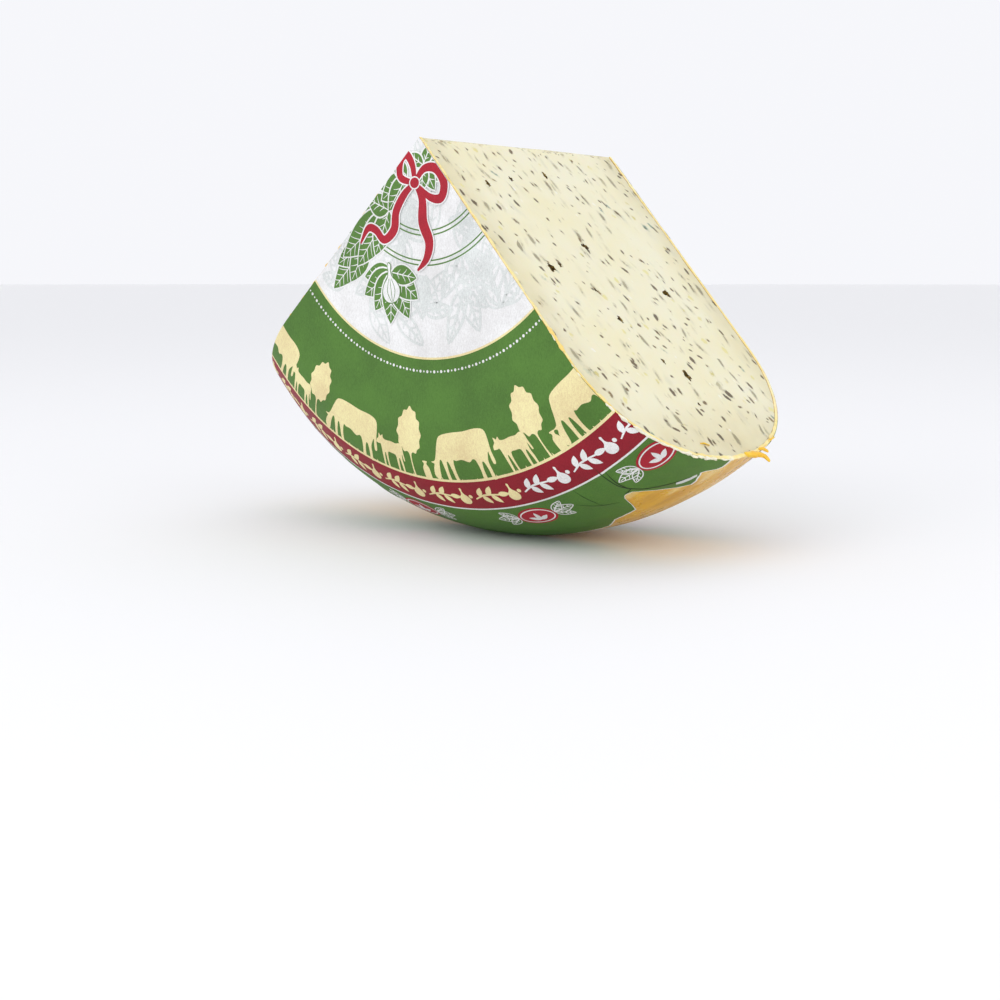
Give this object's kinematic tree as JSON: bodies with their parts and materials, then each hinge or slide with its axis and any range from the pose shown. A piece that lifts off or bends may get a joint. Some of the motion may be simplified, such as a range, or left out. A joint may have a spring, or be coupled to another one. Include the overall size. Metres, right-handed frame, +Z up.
{
  "type": "herb cheese wedge",
  "caption": "Quarter wheel of herb-flecked semi-hard cheese in a yellow coating, with printed paper labels, standing on its rounded rim.",
  "frame": {"origin": "centre of the bounding box on the surface that the rim stands on", "axes": "+Z up, towards the wedge's point; the wheel's axis runs along Y; the front label faces -Y and the right-hand cut faces +X and up"},
  "size_m": [0.1772, 0.096, 0.1255],
  "materials": {
    "cheese_paste": "pale cream-yellow cut cheese with dark herb flecks, moist satin",
    "yellow_coating": "thin glossy yellow cheese coating with streaks and folds",
    "label_paper": "thin printed paper, green with a white disc and a dark red band, slightly wrinkled"
  },
  "bodies": {
    "root": {"cheese_paste": "cheese_paste", "yellow_coating": "yellow_coating", "front_label": "label_paper", "back_label": "label_paper"}
  },
  "joints": []
}
